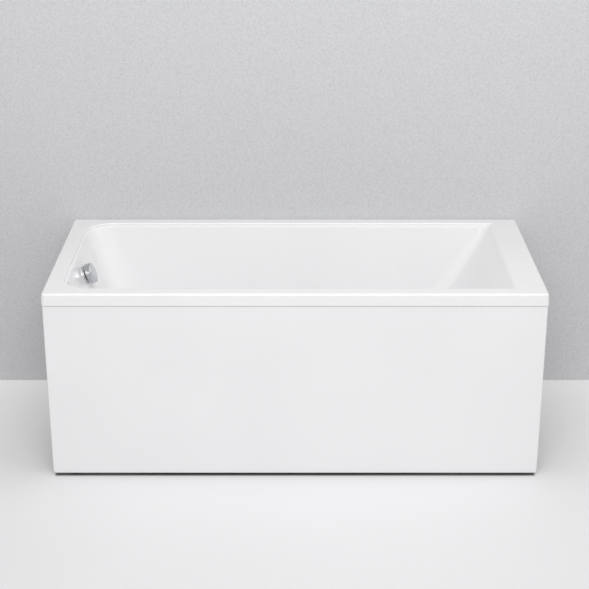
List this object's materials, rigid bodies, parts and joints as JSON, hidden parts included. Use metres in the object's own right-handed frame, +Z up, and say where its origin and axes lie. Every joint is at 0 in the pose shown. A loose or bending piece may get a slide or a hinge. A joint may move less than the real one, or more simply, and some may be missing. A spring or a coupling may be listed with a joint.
{
  "type": "alcove bathtub",
  "caption": "Rectangular acrylic bath with a sloped backrest, flat rim, pull-off front panel, steel frame on screw feet and a turn-knob overflow and waste.",
  "frame": {"origin": "centre of the footprint, on the floor under the feet", "axes": "+X along the bath to the backrest end, +Y to the back wall, +Z up; the panel faces -Y"},
  "size_m": [1.5, 0.7, 0.605],
  "materials": {
    "acrylic": "gloss white acrylic",
    "laminate": "rough glass-fibre laminate",
    "board": "raw particle board",
    "batten_wood": "raw softwood",
    "frame_steel": "light grey powder coat",
    "zinc": "bright zinc plate",
    "black_plastic": "moulded black",
    "white_plastic": "moulded white polypropylene",
    "grey_plastic": "grey drain pipe",
    "hose_plastic": "ribbed white polyethylene",
    "cable_plastic": "black cable sheath",
    "rubber": "matt black rubber",
    "chrome": "polished chrome plate",
    "brass": "turned brass",
    "panel_plastic": "gloss white acrylic panel"
  },
  "bodies": {
    "bath": {"tub_shell": "acrylic", "fibreglass_backing": "laminate", "base_board": "board", "front_rim_batten": "batten_wood", "rear_rim_batten": "batten_wood", "front_rail": "frame_steel", "rear_rail": "frame_steel", "left_end_bar": "frame_steel", "right_end_bar": "frame_steel", "left_cross_bar": "frame_steel", "right_cross_bar": "frame_steel", "rim_pads": "rubber", "board_screws": "zinc", "rail_end_caps": "black_plastic", "foot_weld_nuts": "zinc", "foot_lock_nuts": "zinc", "wall_hanger_left": "zinc", "wall_hanger_right": "zinc", "hanger_screws": "zinc", "panel_clips": "white_plastic", "clip_screws": "zinc", "magnet_catches": "black_plastic", "overflow_housing": "white_plastic", "overflow_gasket": "rubber", "overflow_face_ring": "chrome", "overflow_hose": "hose_plastic", "hose_nuts": "white_plastic", "waste_body": "white_plastic", "waste_gasket": "rubber", "drain_flange": "chrome", "cable_sheath": "cable_plastic", "cable_ferrules": "zinc", "trap_body": "white_plastic", "trap_inlet_nut": "white_plastic", "trap_outlet_nut": "white_plastic", "outlet_pipe": "grey_plastic", "rocker_pin": "zinc", "post_front_left": "frame_steel", "post_front_right": "frame_steel", "post_rear_left": "frame_steel", "post_rear_right": "frame_steel"},
    "knob": {"overflow_knob": "chrome", "knob_grub_screw": "zinc", "cable_drum": "brass"},
    "plunger": {"cable_plunger": "brass"},
    "rocker": {"plug_rocker": "brass"},
    "plug": {"plug_cap": "chrome", "plug_seal": "rubber", "plug_stem": "brass"},
    "panel": {"front_panel": "panel_plastic", "panel_stiffeners": "board", "keeper_plates": "zinc"},
    "foot_front_left": {"foot_pad_front_left": "black_plastic"},
    "stud_front_left": {"foot_stud_front_left": "zinc"},
    "foot_front_right": {"foot_pad_front_right": "black_plastic"},
    "stud_front_right": {"foot_stud_front_right": "zinc"},
    "foot_rear_left": {"foot_pad_rear_left": "black_plastic"},
    "stud_rear_left": {"foot_stud_rear_left": "zinc"},
    "foot_rear_right": {"foot_pad_rear_right": "black_plastic"},
    "stud_rear_right": {"foot_stud_rear_right": "zinc"}
  },
  "joints": [
    {"name": "knob_turn", "type": "hinge", "parent": "bath", "child": "knob", "pos_m": [-0.66857, 0, 0.533], "axis": [0.9367, 0, 0.3502], "range_deg": [0, 80]},
    {"name": "plunger_slide", "type": "slide", "parent": "bath", "child": "plunger", "axis": [1, 0, 0], "range_m": [0, 0.0092]},
    {"name": "rocker_pivot", "type": "hinge", "parent": "bath", "child": "rocker", "pos_m": [-0.432, 0, 0.122], "axis": [0, -1, 0], "range_deg": [0, 50.5]},
    {"name": "plug_lift", "type": "slide", "parent": "bath", "child": "plug", "axis": [0, 0, 1], "range_m": [0, 0.0104]},
    {"name": "panel_pull", "type": "slide", "parent": "bath", "child": "panel", "axis": [0, -1, 0], "range_m": [0, 0.2]},
    {"name": "foot_height_front_left", "type": "slide", "parent": "bath", "child": "foot_front_left", "axis": [0, 0, -1], "range_m": [-0.008, 0.03]},
    {"name": "stud_turn_front_left", "type": "hinge", "parent": "foot_front_left", "child": "stud_front_left", "pos_m": [-0.7, -0.25, 0.1], "axis": [0, 0, -1], "range_deg": [-1650, 6180]},
    {"name": "foot_height_front_right", "type": "slide", "parent": "bath", "child": "foot_front_right", "axis": [0, 0, -1], "range_m": [-0.008, 0.03]},
    {"name": "stud_turn_front_right", "type": "hinge", "parent": "foot_front_right", "child": "stud_front_right", "pos_m": [0.7, -0.25, 0.1], "axis": [0, 0, -1], "range_deg": [-1650, 6180]},
    {"name": "foot_height_rear_left", "type": "slide", "parent": "bath", "child": "foot_rear_left", "axis": [0, 0, -1], "range_m": [-0.008, 0.03]},
    {"name": "stud_turn_rear_left", "type": "hinge", "parent": "foot_rear_left", "child": "stud_rear_left", "pos_m": [-0.7, 0.25, 0.1], "axis": [0, 0, -1], "range_deg": [-1650, 6180]},
    {"name": "foot_height_rear_right", "type": "slide", "parent": "bath", "child": "foot_rear_right", "axis": [0, 0, -1], "range_m": [-0.008, 0.03]},
    {"name": "stud_turn_rear_right", "type": "hinge", "parent": "foot_rear_right", "child": "stud_rear_right", "pos_m": [0.7, 0.25, 0.1], "axis": [0, 0, -1], "range_deg": [-1650, 6180]}
  ],
  "couplings": [
    {"joint": "plunger_slide", "follows": "knob_turn", "m_per_rad": 0.0065},
    {"joint": "rocker_pivot", "follows": "knob_turn", "ratio": 0.625},
    {"joint": "plug_lift", "follows": "knob_turn", "m_per_rad": 0.0073052},
    {"joint": "stud_turn_front_left", "follows": "foot_height_front_left", "rad_per_m": 3590.4},
    {"joint": "stud_turn_front_right", "follows": "foot_height_front_right", "rad_per_m": 3590.4},
    {"joint": "stud_turn_rear_left", "follows": "foot_height_rear_left", "rad_per_m": 3590.4},
    {"joint": "stud_turn_rear_right", "follows": "foot_height_rear_right", "rad_per_m": 3590.4}
  ]
}
